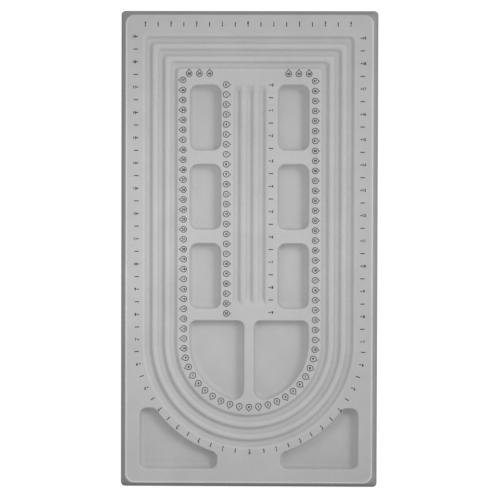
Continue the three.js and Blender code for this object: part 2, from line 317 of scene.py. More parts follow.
def ring_of(skin, outline, z, painted_highlight=0.0, thin=0.0):
    # Each ring stores how much painted highlight and painted shade its points get.
    highlight, shade_paint = skin.verts.layers.float["painted_highlight"], skin.verts.layers.float["thin"]
    ring = [skin.verts.new((x * MM, y * MM, z * MM)) for x, y in outline]
    for vert in ring:
        vert[highlight], vert[shade_paint] = painted_highlight, thin
    return ring


def band_between(skin, outer, inner):
    count = len(outer)
    for index in range(count):
        after = (index + 1) % count
        skin.faces.new((outer[index], outer[after], inner[after], inner[index]))


def loft(skin, rings):
    for outer, inner in zip(rings, rings[1:]):
        band_between(skin, outer, inner)


def inside(point, ring):
    x, y = point
    crossings = 0
    for first, second in zip(ring, ring[1:] + ring[:1]):
        a, b = first.co, second.co
        if (a.y > y) != (b.y > y) and x < a.x + (b.x - a.x) * (y - a.y) / (b.y - a.y):
            crossings += 1
    return crossings % 2 == 1


def fill_flat(skin, edge, holes=()):
    rings = [edge, *holes]
    corners = [vert for ring in rings for vert in ring]
    fixed, start = [], 0
    for ring in rings:
        fixed += [(start + index, start + (index + 1) % len(ring)) for index in range(len(ring))]
        start += len(ring)
    plan = [Vector((vert.co.x, vert.co.y)) for vert in corners]
    filling = delaunay_2d_cdt(plan, fixed, [], TRIANGLES_INSIDE, PLAN_TOLERANCE)
    points, _, faces, sources, _, _ = filling
    for face in faces:
        middle = sum((points[index] for index in face), Vector((0, 0))) / 3
        if not any(inside(middle, hole) for hole in holes):
            skin.faces.new([corners[sources[index][0]] for index in face])


print("flat band round each form:", FLAT_BAND, "mm")


# %% The forms of a skin
def sink_tray(skin, outline, section):
    top = section[0][1]
    rings = [ring_of(skin, outline(-FLAT_BAND), top)]
    for inset, z in section:
        # Painted highlight along the tray's lip, fading down the wall.
        painted_highlight = TRAY_HIGHLIGHT * max(1 - (top - z) / TRAY_LIP_RADIUS, 0)
        rings.append(ring_of(skin, outline(inset), z, painted_highlight))
    rings.append(ring_of(skin, outline(section[-1][0] + FLAT_BAND), section[-1][1]))
    loft(skin, rings)
    fill_flat(skin, rings[-1])
    return rings[0]


def sink_channels(skin, below, steps):
    half = groove_section(below, steps)
    full = half + [(-offset, z) for offset, z in reversed(half[:-1])]
    top = half[0][1]
    outer_edge = FIELD_HALF + CHANNEL_COUNT * GROOVE_PITCH - CREST_FLAT / 2
    inner_edge = FIELD_HALF + CREST_FLAT / 2
    rings = [ring_of(skin, channel_outline(outer_edge + FLAT_BAND), top)]
    for channel in reversed(range(CHANNEL_COUNT)):
        middle = FIELD_HALF + (channel + 0.5) * GROOVE_PITCH
        for offset, z in full:
            # Painted highlight along the crests between the grooves.
            painted_highlight = CREST_HIGHLIGHT * max(1 - (top - z) / CREST_HIGHLIGHT_DEPTH, 0)
            rings.append(ring_of(skin, channel_outline(middle + offset), z, painted_highlight))
    rings.append(ring_of(skin, channel_outline(inner_edge - FLAT_BAND), top))
    loft(skin, rings)
    return rings[0], rings[-1]


def sink_straight_groove(skin, index, below, steps):
    centre_x = (index - (STRAIGHT_COUNT - 1) / 2) * GROOVE_PITCH
    centre_y = (STRAIGHT_TOP + STRAIGHT_BOTTOM) / 2
    half_length = (STRAIGHT_TOP - STRAIGHT_BOTTOM) / 2
    section = groove_section(below, steps)[:-1]
    top = section[0][1]

    def outline(half, end_inset):
        return rounded_rectangle(
            centre_x, centre_y, half, half_length - end_inset, STRAIGHT_CORNER_RADIUS
        )

    rings = [ring_of(skin, outline(section[0][0] + FLAT_BAND, -FLAT_BAND), top)]
    rings += [ring_of(skin, outline(half, groove_end_inset(below, z)), z) for half, z in section]
    loft(skin, rings)
    fill_flat(skin, rings[-1])
    return rings[0]


def raise_skirt(skin, below, hem, steps):
    section = skirt_section(below, hem, steps)
    brim_inset, brim_z = section[-1]
    # Painted highlight along the rim and a narrow strip of land inside it.
    highlight = [max(1 - (brim_z - z) / RIM_RADIUS, 0) for _, z in section]
    section += [(brim_inset + HIGHLIGHT_WIDTH, brim_z), (brim_inset + HIGHLIGHT_FADE, brim_z)]
    painted_highlight_layer, thin_layer = skin.verts.layers.float["painted_highlight"], skin.verts.layers.float["thin"]
    rings = []
    for (inset, z), painted_highlight in zip(section, [*highlight, 1.0, 0.0]):
        # Painted shade down the skirt, below the rim.
        thin = min((brim_z - z) / (RIM_RADIUS / 2), 1)
        follow = BASE_CORNER_RADIUS + (TOP_CORNER_RADIUS - BASE_CORNER_RADIUS) * z / BOARD_HEIGHT
        radius = max(follow - below, LEAST_BEND)
        end = BOARD_HALF_LENGTH - inset
        outline = rounded_rectangle(0, 0, BOARD_HALF_WIDTH - inset, end, radius)
        ring = ring_of(skin, outline, z, painted_highlight, thin)
        for vert, (_, y) in zip(ring, outline):
            # The painted highlight fades out at the far end.
            vert[painted_highlight_layer] *= min((end - y) / radius, 1)
            # The painted shade is strongest at the near end.
            vert[thin_layer] *= SIDE_PAINTED_SHADE + (1 - SIDE_PAINTED_SHADE) * max(1 - (end + y) / radius, 0)
        rings.append(ring)
    loft(skin, rings)
    return rings[0], rings[-1]


print("a skin has a skirt, a set of channels, straight grooves and three kinds of tray")


# %% A whole skin
SHARP_FROM = math.radians(50)


def lay_skin(skin, below, hem, steps):
    foot, brim = raise_skirt(skin, below, hem, steps)
    channel_outside, channel_inside = sink_channels(skin, below, steps)

    corner_drop = math.sqrt(CORNER_TRAY_RADIUS ** 2 - (CORNER_TRAY_GAP / 2) ** 2)
    corner_room = (ARC_Y - corner_drop - CORNER_TRAY_BASE) / 2
    corner_section = tray_section(below, CORNER_TRAY_FLOOR_FILLET, corner_room, steps)
    half_round_room = (HALF_ROUND_RADIUS - HALF_ROUND_DIVIDER / 2) / 2
    half_round_section = tray_section(below, TRAY_FLOOR_FILLET, half_round_room, steps)
    small_section = tray_section(below, TRAY_FLOOR_FILLET, TRAY_HALF_WIDTH, steps)

    margin_holes, field_holes = [channel_outside], []
    for side in SIDES:
        margin_holes.append(sink_tray(skin, partial(corner_tray_outline, side), corner_section))
        field_holes.append(sink_tray(skin, partial(half_round_outline, side), half_round_section))
        for centre_y in TRAY_CENTRES_Y:
            outline = partial(small_tray_outline, side, centre_y)
            field_holes.append(sink_tray(skin, outline, small_section))
    for index in range(STRAIGHT_COUNT):
        field_holes.append(sink_straight_groove(skin, index, below, steps))

    fill_flat(skin, brim, margin_holes)
    fill_flat(skin, channel_inside, field_holes)
    return foot


def layer_between(name, face_below, back_below, hem, face_steps, back_steps):
    skin = bmesh.new()
    for label in ("painted_highlight", "thin"):
        skin.verts.layers.float.new(label)
    back_foot = lay_skin(skin, back_below, hem, back_steps)
    bmesh.ops.reverse_faces(skin, faces=skin.faces[:])
    face_foot = lay_skin(skin, face_below, hem, face_steps)
    band_between(skin, back_foot, face_foot)
    mesh = bpy.data.meshes.new(name)
    skin.to_mesh(mesh)
    skin.free()
    mesh.polygons.foreach_set("use_smooth", [True] * len(mesh.polygons))
    mesh.set_sharp_from_angle(angle=SHARP_FROM)
    piece = bpy.data.objects.new(name, mesh)
    bpy.context.scene.collection.objects.link(piece)
    return piece


print("a layer is a face skin and a back skin that share a rim")

# %% [markdown]
# ## The two layers
# The sheet carries the board, and its underside shows the forms the other way round.
# The flock is a coat of short upright fibres over its face and skirt.
# Each layer is a closed shell: a face skin, a back skin turned over,
# and a thin rim that joins their feet.

# %% Make the flock coat and the formed sheet
flock = layer_between("flocked_face", 0.0, FLOCK_BACK, FLOCK_HEM, SEEN_STEPS, HIDDEN_STEPS)
sheet = layer_between("formed_sheet", SHEET_FACE, SHEET_BACK, 0.0, HIDDEN_STEPS, SEEN_STEPS)

for piece in (flock, sheet):
    triangles = sum(len(face.vertices) - 2 for face in piece.data.polygons)
    print(piece.name, triangles, "triangles")

# %% [markdown]
# ## Finishes
# Flock has no gloss. Its fibres scatter light, glow a little at grazing angles and lean in patches,
# so the grey is never quite even. The ink sits in the same fibres, so both need the same pile.
# A node group holds that pile once, and each material places it with its own values.
# Two attributes of the mesh paint light and shade into the colour: a painted highlight
# along the crests, the tray lips and the rim, all but the far end's, and painted shade
# down the steep skirt, most of all at the near end.

# %% Helpers for node trees
def node(tree, kind, **settings):
    made = tree.nodes.new(kind)
    for name, value in settings.items():
        setattr(made, name, value)
    return made


def wire(tree, source, output, target, entry):
    tree.links.new(source.outputs[output], target.inputs[entry])


def feed(tree, target, **sources):
    for entry, source in sources.items():
        socket = target.inputs[int(entry[1:])]
        if isinstance(source, bpy.types.NodeSocket):
            tree.links.new(source, socket)
        else:
            socket.default_value = source


def maths(tree, operation, first, second=0.0, third=0.0):
    made = node(tree, "ShaderNodeMath", operation=operation)
    feed(tree, made, _0=first, _1=second, _2=third)
    return made.outputs[0]


print("helpers that add, link and set nodes are ready")

# %% The pile of fibres, as a node group
FIBRES_PER_METRE = 1500.0
PATCHES_PER_METRE = 34.0
MIDDLE = 0.5


def noise(tree, coordinates, scale, detail, roughness):
    texture = tree.nodes.new("ShaderNodeTexNoise")
    texture.inputs["Scale"].default_value = scale
    texture.inputs["Detail"].default_value = detail
    texture.inputs["Roughness"].default_value = roughness
    wire(tree, coordinates, "Object", texture, "Vector")
    return texture


def fibre_pile_group():
    group = bpy.data.node_groups.new("fibre_pile", "ShaderNodeTree")
    for way, labels in (("INPUT", ("Speckle", "Lean")), ("OUTPUT", ("Shade", "Height"))):
        for label in labels:
            group.interface.new_socket(label, in_out=way, socket_type="NodeSocketFloat")
    entry, leave = node(group, "NodeGroupInput"), node(group, "NodeGroupOutput")
    coordinates = node(group, "ShaderNodeTexCoord")
    tips = noise(group, coordinates, FIBRES_PER_METRE, detail=2.0, roughness=0.6)
    lean = noise(group, coordinates, PATCHES_PER_METRE, detail=3.0, roughness=0.55)

    def scaled(texture, strength):
        centred = maths(group, "SUBTRACT", texture.outputs["Fac"], MIDDLE)
        return maths(group, "MULTIPLY", centred, entry.outputs[strength])

    both = maths(group, "ADD", scaled(tips, "Speckle"), scaled(lean, "Lean"))
    shade = maths(group, "ADD", both, MIDDLE)
    shade.node.use_clamp = True
    group.links.new(shade, leave.inputs["Shade"])
    wire(group, tips, "Fac", leave, "Height")
    return group


fibre_pile = fibre_pile_group()
print("group:", fibre_pile.name, [item.name for item in fibre_pile.interface.items_tree])


# %% Materials that stand in the pile
PILE_ROUGHNESS = 0.95
PILE_SPECULAR = 0.12
SHEEN_ROUGHNESS = 0.6
PILE_RELIEF = 0.2 * MM
PAINTED_SHADE_GREY = 0.45
LEAST_HIGHLIGHT = 0.4


def grey(level):
    return (level, level, level, 1)


def mixed(tree, factor, first, second, blend_type="MIX"):
    made = node(tree, "ShaderNodeMix", data_type="RGBA", blend_type=blend_type)
    feed(tree, made, _0=factor, _6=first, _7=second)
    return made.outputs["Result"]


def attribute(tree, name):
    return node(tree, "ShaderNodeAttribute", attribute_name=name).outputs["Fac"]


def piled_material(name, dark, light, painted_highlight, speckle, lean, bump, sheen):
    material = bpy.data.materials.new(name)
    material.use_nodes = True
    tree = material.node_tree
    shader = tree.nodes["Principled BSDF"]
    shader.inputs["Roughness"].default_value = PILE_ROUGHNESS
    shader.inputs["Specular IOR Level"].default_value = PILE_SPECULAR
    shader.inputs["Sheen Weight"].default_value = sheen
    shader.inputs["Sheen Roughness"].default_value = SHEEN_ROUGHNESS
    pile = node(tree, "ShaderNodeGroup", node_tree=fibre_pile)
    pile.inputs["Speckle"].default_value = speckle
    pile.inputs["Lean"].default_value = lean
    shade = pile.outputs["Shade"]
    coat = mixed(tree, shade, grey(dark), grey(light))
    # Painted shade darkens the coat where the mesh asks for it, then a painted highlight, broken up
    # by the pile, lightens it.
    thinned = mixed(tree, attribute(tree, "thin"), coat, grey(PAINTED_SHADE_GREY), "MULTIPLY")
    patchy = maths(tree, "ADD", shade, LEAST_HIGHLIGHT)
    highlight = maths(tree, "MULTIPLY", attribute(tree, "painted_highlight"), patchy)
    highlighted = mixed(tree, highlight, thinned, grey(painted_highlight))
    tree.links.new(highlighted, shader.inputs["Base Color"])
    relief = node(tree, "ShaderNodeBump")
    relief.inputs["Strength"].default_value = bump
    relief.inputs["Distance"].default_value = PILE_RELIEF
    wire(tree, pile, "Height", relief, "Height")
    wire(tree, relief, "Normal", shader, "Normal")
    return material


flock_grey = piled_material(
    "grey_flock", dark=0.42, light=0.58, painted_highlight=0.66, speckle=0.9, lean=0.5, bump=0.35, sheen=0.12
)
scale_ink = piled_material(
    "scale_ink", dark=0.012, light=0.07, painted_highlight=0.07, speckle=1.2, lean=0.4, bump=0.2, sheen=0.0
)
flock.data.materials.append(flock_grey)
print("materials:", flock_grey.name, scale_ink.name)

# %% [markdown]
# ## The sheet's underside
# Underneath, the bare plastic has a fine satin grain from the tool, and a faint haze where it was
# stretched. Two noises are enough: a coarse one for the haze, and a fine one for the grain.

# %% Satin plastic
HAZE_PER_METRE = 22.0
GRAIN_PER_METRE = 900.0
DARK_PLASTIC = (0.29, 0.29, 0.295, 1)
PALE_PLASTIC = (0.37, 0.37, 0.375, 1)
SMOOTHEST = 0.34
ROUGHEST = 0.56
GRAIN_STRENGTH = 0.18
GRAIN_RELIEF = 0.08 * MM


def satin_plastic():
    material = bpy.data.materials.new("satin_plastic")
    material.use_nodes = True
    tree = material.node_tree
    shader = tree.nodes["Principled BSDF"]
    coordinates = node(tree, "ShaderNodeTexCoord")
    haze = noise(tree, coordinates, HAZE_PER_METRE, detail=4.0, roughness=0.6)
    grain = noise(tree, coordinates, GRAIN_PER_METRE, detail=3.0, roughness=0.5)
    tone = mixed(tree, haze.outputs["Fac"], DARK_PLASTIC, PALE_PLASTIC)
    tree.links.new(tone, shader.inputs["Base Color"])
    gloss = node(tree, "ShaderNodeMapRange")
    gloss.inputs["To Min"].default_value = SMOOTHEST
    gloss.inputs["To Max"].default_value = ROUGHEST
    wire(tree, haze, "Fac", gloss, "Value")
    wire(tree, gloss, "Result", shader, "Roughness")
    relief = node(tree, "ShaderNodeBump")
    relief.inputs["Strength"].default_value = GRAIN_STRENGTH
    relief.inputs["Distance"].default_value = GRAIN_RELIEF
    wire(tree, grain, "Fac", relief, "Height")
    wire(tree, relief, "Normal", shader, "Normal")
    return material


sheet.data.materials.append(satin_plastic())
print("material:", sheet.data.materials[0].name)

# %% [markdown]
# ## The printed scales
# Two kinds of scale run along the lands: inches as ticks with numbers, and centimetres as small
# balloons that point at the nearest channel. All of them repeat one mark along a path.
# Marks could be placed one by one in Python, but a Geometry Nodes tree does it from the path:
# it spaces points along the curve, reads its direction there,
# and stamps a tick, a balloon and a number.

# %% The named inputs of the scale tree
SCALE_INPUTS = (
    ("Marks", "NodeSocketInt"),
    ("Pitch", "NodeSocketFloat"),
    ("Zero mark", "NodeSocketInt"),
    ("Zero gap", "NodeSocketFloat"),
    ("Numbered every", "NodeSocketInt"),
    ("Balloons", "NodeSocketBool"),
    ("Mark shift", "NodeSocketFloat"),
    ("Number shift", "NodeSocketFloat"),
    ("Tick length", "NodeSocketFloat"),
    ("Numbered tick length", "NodeSocketFloat"),
    ("Line width", "NodeSocketFloat"),
    ("Balloon radius", "NodeSocketFloat"),
    ("Point reach", "NodeSocketFloat"),
    ("Digit height", "NodeSocketFloat"),
    ("Digit weight", "NodeSocketFloat"),
    ("Ink thickness", "NodeSocketFloat"),
    ("Ink", "NodeSocketMaterial"),
)
BALLOON_POINTS = 20
POINT_SHARPNESS = 40.0
DIGIT_CURVE_STEPS = 3
DIGIT_SHARE_OF_SIZE = 0.7
DIGIT_ADVANCE = 0.52
DIGIT_MIDDLE = 0.04
SEWING_DISTANCE = 0.001 * MM

scale_tree = bpy.data.node_groups.new("print_scale", "GeometryNodeTree")
scale_tree.interface.new_socket("Geometry", in_out="INPUT", socket_type="NodeSocketGeometry")
SCALE_SOCKETS = {}
for label, kind in SCALE_INPUTS:
    socket = scale_tree.interface.new_socket(label, in_out="INPUT", socket_type=kind)
    SCALE_SOCKETS[label] = socket.identifier
scale_tree.interface.new_socket("Geometry", in_out="OUTPUT", socket_type="NodeSocketGeometry")
path_in = node(scale_tree, "NodeGroupInput")
print_out = node(scale_tree, "NodeGroupOutput")
print("inputs:", len(SCALE_SOCKETS))


# %% Points along the path
def link(source, target, entry):
    scale_tree.links.new(source, target.inputs[entry])


def rule(operation, *values):
    return maths(scale_tree, operation, *values)


def scaled_vector(vector, factor):
    made = node(scale_tree, "ShaderNodeVectorMath", operation="SCALE")
    link(vector, made, "Vector")
    link(factor, made, "Scale")
    return made.outputs["Vector"]


given = path_in.outputs
path = given["Geometry"]
marks = node(scale_tree, "GeometryNodePoints")
feed(scale_tree, marks, _0=given["Marks"])
index = node(scale_tree, "GeometryNodeInputIndex").outputs[0]
path_length = node(scale_tree, "GeometryNodeCurveLength")
feed(scale_tree, path_length, _0=path)

steps_from_zero = rule("SUBTRACT", index, given["Zero mark"])
last_mark = rule("SUBTRACT", given["Marks"], 1.0)
from_middle = rule("SUBTRACT", index, rule("MULTIPLY", last_mark, 0.5))
spacing = rule("MULTIPLY", from_middle, given["Pitch"])
gap = rule("MULTIPLY", rule("SIGN", steps_from_zero), given["Zero gap"])
middle = rule("MULTIPLY", path_length.outputs[0], 0.5)
reach = rule("ADD", middle, rule("ADD", spacing, gap))

sample = node(scale_tree, "GeometryNodeSampleCurve", mode="LENGTH")
link(path, sample, "Curves")
link(reach, sample, "Length")
along = node(scale_tree, "ShaderNodeSeparateXYZ")
feed(scale_tree, along, _0=sample.outputs["Tangent"])
outward = node(scale_tree, "ShaderNodeCombineXYZ")
back = rule("MULTIPLY", along.outputs["X"], -1.0)
feed(scale_tree, outward, _0=along.outputs["Y"], _1=back)
heading = rule("ARCTAN2", back, along.outputs["Y"])
turn = node(scale_tree, "ShaderNodeCombineXYZ")
feed(scale_tree, turn, _2=heading)
print("nodes so far:", len(scale_tree.nodes))

# %% Which marks have a number
counted = rule("ABSOLUTE", steps_from_zero)
left_over = rule("MODULO", counted, given["Numbered every"])
numbered = rule("LESS_THAN", left_over, 0.5)
number = rule("ROUND", rule("DIVIDE", counted, given["Numbered every"]))
tens = rule("FLOOR", rule("DIVIDE", rule("ADD", number, 0.5), 10.0))
units = rule("SUBTRACT", number, rule("MULTIPLY", tens, 10.0))
two_digits = rule("GREATER_THAN", tens, 0.5)


def points_moved(shift, sideways=None):
    moved = node(scale_tree, "GeometryNodeSetPosition")
    offset = scaled_vector(outward.outputs[0], shift)
    if sideways is not None:
        aside = node(scale_tree, "ShaderNodeCombineXYZ")
        feed(scale_tree, aside, _0=sideways)
        both = node(scale_tree, "ShaderNodeVectorMath", operation="ADD")
        feed(scale_tree, both, _0=offset, _1=aside.outputs[0])
        offset = both.outputs[0]
    link(marks.outputs[0], moved, "Geometry")
    link(sample.outputs["Position"], moved, "Position")
    link(offset, moved, "Offset")
    return moved.outputs[0]


def stamp(points, shape, selection, rotation=None, scale=None, pick=None):
    made = node(scale_tree, "GeometryNodeInstanceOnPoints")
    link(points, made, "Points")
    link(shape, made, "Instance")
    link(selection, made, "Selection")
    if rotation is not None:
        link(rotation, made, "Rotation")
    if scale is not None:
        link(scale, made, "Scale")
    if pick is not None:
        made.inputs["Pick Instance"].default_value = True
        link(pick, made, "Instance Index")
    return made.outputs[0]


print("number rules ready")

# %% The stamp of a tick
tick_size = node(scale_tree, "ShaderNodeCombineXYZ")
feed(scale_tree, tick_size, _0=1.0, _1=given["Line width"], _2=given["Ink thickness"])
tick_box = node(scale_tree, "GeometryNodeMeshCube")
link(tick_size.outputs[0], tick_box, "Size")
tick_from_end = node(scale_tree, "GeometryNodeTransform")
link(tick_box.outputs["Mesh"], tick_from_end, "Geometry")
tick_from_end.inputs["Translation"].default_value = (0.5, 0, 0)
longer = rule("SUBTRACT", given["Numbered tick length"], given["Tick length"])
tick_length = rule("MULTIPLY_ADD", longer, numbered, given["Tick length"])
tick_scale = node(scale_tree, "ShaderNodeCombineXYZ")
feed(scale_tree, tick_scale, _0=tick_length, _1=1.0, _2=1.0)
plain_mark = rule("SUBTRACT", 1.0, given["Balloons"])
marks_in_place = points_moved(given["Mark shift"])
tick = tick_from_end.outputs[0]
ticks = stamp(marks_in_place, tick, plain_mark, turn.outputs[0], tick_scale.outputs[0])
print("ticks are boxes that start at their inner end")

# %% The stamp of a balloon
circle = node(scale_tree, "GeometryNodeCurvePrimitiveCircle")
circle.inputs["Resolution"].default_value = BALLOON_POINTS
link(given["Balloon radius"], circle, "Radius")
place = node(scale_tree, "GeometryNodeInputPosition").outputs[0]
direction = node(scale_tree, "ShaderNodeVectorMath", operation="NORMALIZE")
feed(scale_tree, direction, _0=place)
facing = node(scale_tree, "ShaderNodeSeparateXYZ")
feed(scale_tree, facing, _0=direction.outputs[0])
forward = rule("POWER", rule("MAXIMUM", facing.outputs["X"], 0.0), POINT_SHARPNESS)
spare = rule("SUBTRACT", given["Point reach"], given["Balloon radius"])
pulled = node(scale_tree, "GeometryNodeSetPosition")
link(circle.outputs["Curve"], pulled, "Geometry")
pull = scaled_vector(direction.outputs[0], rule("MULTIPLY", forward, spare))
link(pull, pulled, "Offset")
line_section = node(scale_tree, "GeometryNodeCurvePrimitiveQuadrilateral")
link(given["Line width"], line_section, "Width")
link(given["Ink thickness"], line_section, "Height")
balloon = node(scale_tree, "GeometryNodeCurveToMesh")
link(pulled.outputs[0], balloon, "Curve")
link(line_section.outputs[0], balloon, "Profile Curve")
balloons = stamp(marks_in_place, balloon.outputs[0], given["Balloons"], turn.outputs[0])
print("balloons are circles pulled to a point on one side")

# %% The stamps of the ten digits
font_size = rule("DIVIDE", given["Digit height"], DIGIT_SHARE_OF_SIZE)
drop = rule("MULTIPLY", font_size, -DIGIT_MIDDLE)
lower = node(scale_tree, "ShaderNodeCombineXYZ")
feed(scale_tree, lower, _1=drop, _2=rule("MULTIPLY", given["Ink thickness"], -0.5))
stroke_lower = node(scale_tree, "ShaderNodeCombineXYZ")
feed(scale_tree, stroke_lower, _1=drop)
stroke_section = node(scale_tree, "GeometryNodeCurvePrimitiveQuadrilateral")
link(given["Digit weight"], stroke_section, "Width")
link(given["Ink thickness"], stroke_section, "Height")
digit_set = node(scale_tree, "GeometryNodeGeometryToInstance")
for digit in reversed(range(10)):
    drawn = node(scale_tree, "GeometryNodeStringToCurves", align_x="CENTER", align_y="MIDDLE")
    drawn.inputs["String"].default_value = str(digit)
    link(font_size, drawn, "Size")
    real = node(scale_tree, "GeometryNodeRealizeInstances")
    feed(scale_tree, real, _0=drawn.outputs["Curve Instances"])
    coarse = node(scale_tree, "GeometryNodeSetSplineResolution")
    link(real.outputs[0], coarse, "Geometry")
    coarse.inputs["Resolution"].default_value = DIGIT_CURVE_STEPS
    filled = node(scale_tree, "GeometryNodeFillCurve")
    link(coarse.outputs[0], filled, "Curve")
    raised = node(scale_tree, "GeometryNodeExtrudeMesh")
    raised.inputs["Individual"].default_value = False
    link(filled.outputs[0], raised, "Mesh")
    link(given["Ink thickness"], raised, "Offset Scale")
    underside = node(scale_tree, "GeometryNodeFlipFaces")
    link(filled.outputs[0], underside, "Mesh")
    whole = node(scale_tree, "GeometryNodeJoinGeometry")
    link(underside.outputs[0], whole, 0)
    link(raised.outputs["Mesh"], whole, 0)
    sewn = node(scale_tree, "GeometryNodeMergeByDistance")
    sewn.inputs["Distance"].default_value = SEWING_DISTANCE
    link(whole.outputs[0], sewn, "Geometry")
    centred = node(scale_tree, "GeometryNodeTransform")
    link(sewn.outputs[0], centred, "Geometry")
    link(lower.outputs[0], centred, "Translation")
    stroke = node(scale_tree, "GeometryNodeCurveToMesh")
    link(coarse.outputs[0], stroke, "Curve")
    link(stroke_section.outputs[0], stroke, "Profile Curve")
    stroke_in_place = node(scale_tree, "GeometryNodeTransform")
    link(stroke.outputs[0], stroke_in_place, "Geometry")
    link(stroke_lower.outputs[0], stroke_in_place, "Translation")
    bold = node(scale_tree, "GeometryNodeJoinGeometry")
    link(stroke_in_place.outputs[0], bold, 0)
    link(centred.outputs[0], bold, 0)
    link(bold.outputs[0], digit_set, 0)

half_advance = rule("MULTIPLY", font_size, DIGIT_ADVANCE / 2)
to_right = rule("MULTIPLY", half_advance, two_digits)
to_left = rule("MULTIPLY", half_advance, -1.0)
has_tens = rule("MULTIPLY", numbered, two_digits)
unit_points = points_moved(given["Number shift"], to_right)
ten_points = points_moved(given["Number shift"], to_left)
unit_digits = stamp(unit_points, digit_set.outputs[0], numbered, pick=units)
ten_digits = stamp(ten_points, digit_set.outputs[0], has_tens, pick=tens)
print("nodes in the tree:", len(scale_tree.nodes))

# %% Join, realise and ink the marks
all_marks = node(scale_tree, "GeometryNodeJoinGeometry")
for stamped in (ticks, balloons, unit_digits, ten_digits):
    link(stamped, all_marks, 0)
realised = node(scale_tree, "GeometryNodeRealizeInstances")
feed(scale_tree, realised, _0=all_marks.outputs[0])
inked = node(scale_tree, "GeometryNodeSetMaterial")
link(realised.outputs[0], inked, "Geometry")
link(given["Ink"], inked, "Material")
link(inked.outputs[0], print_out, 0)
print("tree finished")

# %% [markdown]
# ## Paths for the scales
# Each scale follows a line on a land. A path is walked so that its right hand points outwards,
# at the channel or the edge that the scale belongs to. The long ones go down one side,
# round the bend and up the other, with zero at the bottom.

# %% The paths, in millimetres
INK_THICKNESS = 0.05
INK_RISE = 0.015
INK_HEIGHT = BOARD_HEIGHT + INK_RISE
HALF_INCH = 12.7
CENTIMETRE = 10.0
TOP_HALF_INCH = 12.9
TOP_CENTIMETRE = 10.3
BEND_STEPS = 120


def bend_path(half_width, bend_depth, aside):
    bend = []
    for step in range(BEND_STEPS + 1):
        angle = math.pi + math.pi * step / BEND_STEPS
        bend.append((aside + half_width * math.cos(angle), ARC_Y + bend_depth * math.sin(angle)))
    return bend


inch_style = {
    "Numbered every": 2,
    "Balloons": False,
    "Mark shift": -2.25 * MM,
    "Number shift": 1.5 * MM,
    "Tick length": 4.5 * MM,
    "Numbered tick length": 2.0 * MM,
    "Line width": 0.9 * MM,
    "Digit height": 2.6 * MM,
    "Digit weight": 0.35 * MM,
}
centimetre_style = {
    "Numbered every": 1,
    "Balloons": True,
    "Balloon radius": 2.9 * MM,
    "Point reach": 4.7 * MM,
    "Line width": 0.7 * MM,
    "Mark shift": 0.0,
    "Number shift": 0.0,
    "Digit height": 2.3 * MM,
    "Digit weight": 0.35 * MM,
}
field_style = {**centimetre_style, "Mark shift": -2.3 * MM, "Number shift": -2.3 * MM}
print("settings of a style:", len(inch_style), len(centimetre_style))


# %% Print every scale
def print_scale(name, style, points, marks, zero_mark, pitch, zero_gap=0.0):
    line = bpy.data.curves.new(name, "CURVE")
    line.dimensions = "3D"
    spline = line.splines.new("POLY")
    spline.points.add(len(points) - 1)
    for point, (x, y) in zip(spline.points, points):
        point.co = (x * MM, y * MM, INK_HEIGHT * MM, 1)
    carrier = bpy.data.objects.new(name, line)
    bpy.context.scene.collection.objects.link(carrier)
    modifier = carrier.modifiers.new("print_scale", "NODES")
    modifier.node_group = scale_tree
    settings = {
        **style,
        "Marks": marks,
        "Zero mark": zero_mark,
        "Pitch": pitch * MM,
        "Zero gap": zero_gap * MM,
        "Ink thickness": INK_THICKNESS * MM,
        "Ink": scale_ink,
    }
    for label, value in settings.items():
        modifier[SCALE_SOCKETS[label]] = value
    graph = bpy.context.evaluated_depsgraph_get()
    mesh = bpy.data.meshes.new_from_object(carrier.evaluated_get(graph))
    bpy.data.objects.remove(carrier)
    print(name, len(mesh.polygons), "faces")
    return mesh


prints = [
    print_scale(
        "edge_inches_left", inch_style, [(-114.6, 213.5), (-112.6, -91.0)],
        marks=25, zero_mark=38, pitch=HALF_INCH,
    ),
    print_scale(
        "edge_inches_bend", inch_style, bend_path(114.4, 109.3, 1.0),
        marks=27, zero_mark=13, pitch=HALF_INCH, zero_gap=1.8,
    ),
    print_scale(
        "edge_inches_right", inch_style, [(114.2, -92.8), (113.4, 212.2)],
        marks=25, zero_mark=-14, pitch=HALF_INCH,
    ),
    print_scale(
        "top_inches", inch_style, [(108.4, 225.9), (-111.6, 225.9)],
        marks=17, zero_mark=8, pitch=TOP_HALF_INCH,
    ),
    print_scale(
        "field_centimetres", field_style,
        [(-69.1, 178.9), *bend_path(68.3, 66.7, 0.65), (68.1, 178.0)],
        marks=75, zero_mark=37, pitch=CENTIMETRE,
    ),
    print_scale(
        "field_top_left", centimetre_style, [(-35.4, 176.5), (-65.4, 176.5)],
        marks=3, zero_mark=40, pitch=TOP_CENTIMETRE,
    ),
    print_scale(
        "field_top_right", centimetre_style, [(64.5, 176.3), (34.5, 176.3)],
        marks=3, zero_mark=-38, pitch=TOP_CENTIMETRE,
    ),
    print_scale(
        "groove_centimetres", centimetre_style, [(-22.8, -69.5), (-23.6, 170.5)],
        marks=24, zero_mark=23, pitch=CENTIMETRE,
    ),
    print_scale(
        "groove_inches", inch_style, [(22.0, -69.2), (21.5, 170.8)],
        marks=19, zero_mark=18, pitch=HALF_INCH,
    ),
]

# %% Gather the prints into one piece
ink = bmesh.new()
for printed in prints:
    ink.from_mesh(printed)
    bpy.data.meshes.remove(printed)
ink_mesh = bpy.data.meshes.new("printed_scales")
ink.to_mesh(ink_mesh)
ink.free()
ink_mesh.materials.append(scale_ink)
scales = bpy.data.objects.new("printed_scales", ink_mesh)
bpy.context.scene.collection.objects.link(scales)
print("printed scales:", len(ink_mesh.polygons), "faces")

# %% [markdown]
# ## Join the pieces to the imported frame
# Nothing on the board moves, so every piece rides on the one body.
# The two layers stand for the solids that they refine, which are hidden.

# %% Ride and replace
for piece in (flock, sheet, scales):
    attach(piece, "root")
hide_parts("flock_coat")
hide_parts("formed_shell")
print("pieces:", [piece.name for piece in (flock, sheet, scales)])

